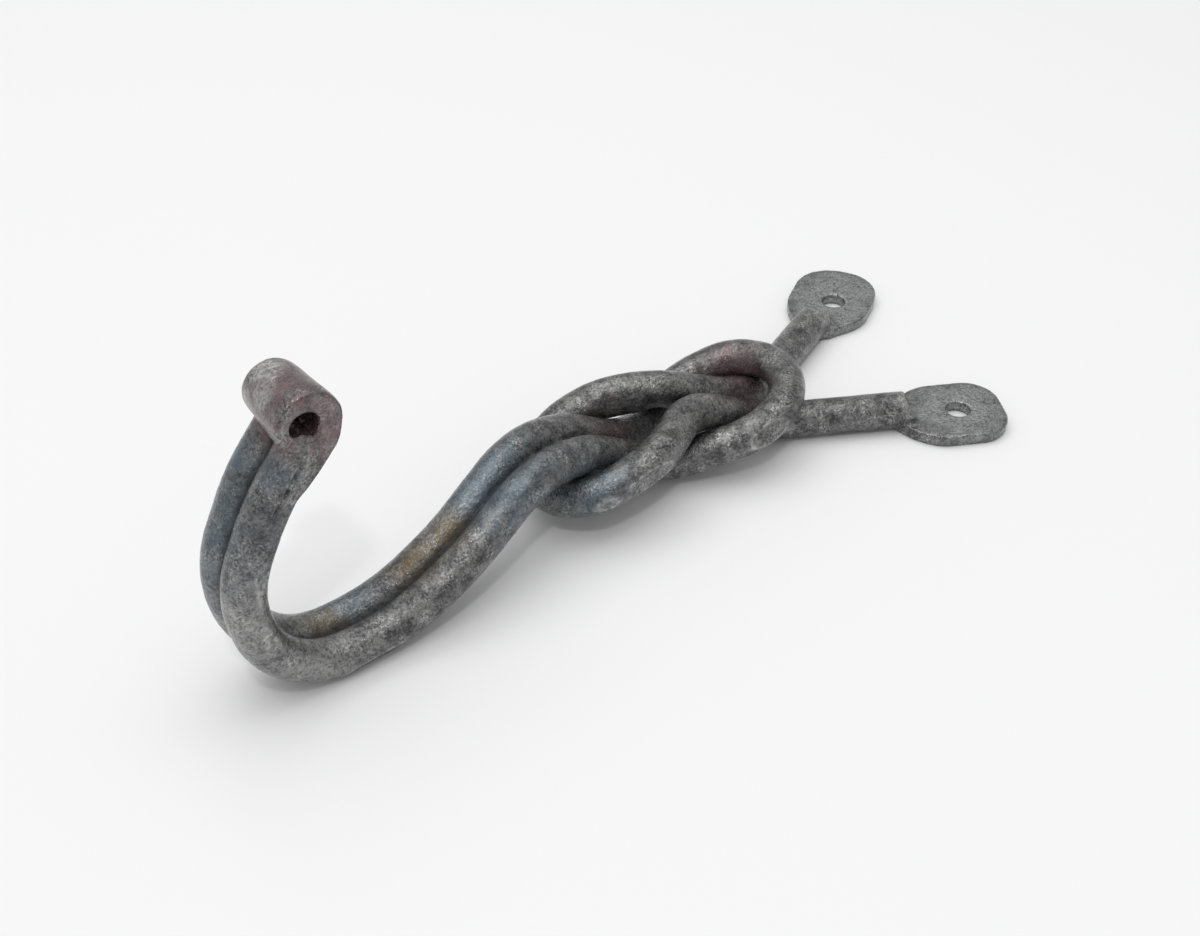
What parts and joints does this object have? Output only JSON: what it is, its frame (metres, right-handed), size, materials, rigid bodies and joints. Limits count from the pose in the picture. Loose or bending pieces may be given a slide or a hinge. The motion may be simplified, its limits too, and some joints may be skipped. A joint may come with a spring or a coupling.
{
  "type": "wall hook",
  "caption": "Hand-forged wall hook of round steel bar: interlocked bights form a square knot, with a rolled-over hook tip at one end and flattened screw tabs at the other.",
  "frame": {"origin": "midway between the screw holes' centres, on the wall plane that the tabs' undersides lie on", "axes": "+Y through both screw holes, +Z out of the wall, and +X from the hook towards the screw tabs, which is up the wall in use"},
  "size_m": [0.1431, 0.063, 0.0512],
  "materials": {
    "hook_steel": "dark forged scale, hammered and lightly waxed, rust-brown at the tip",
    "mount_steel": "dark forged scale, hammered and lightly waxed, paler on the flattened tabs"
  },
  "bodies": {
    "root": {"hook_bar": "hook_steel", "mount_bar": "mount_steel"}
  },
  "joints": []
}
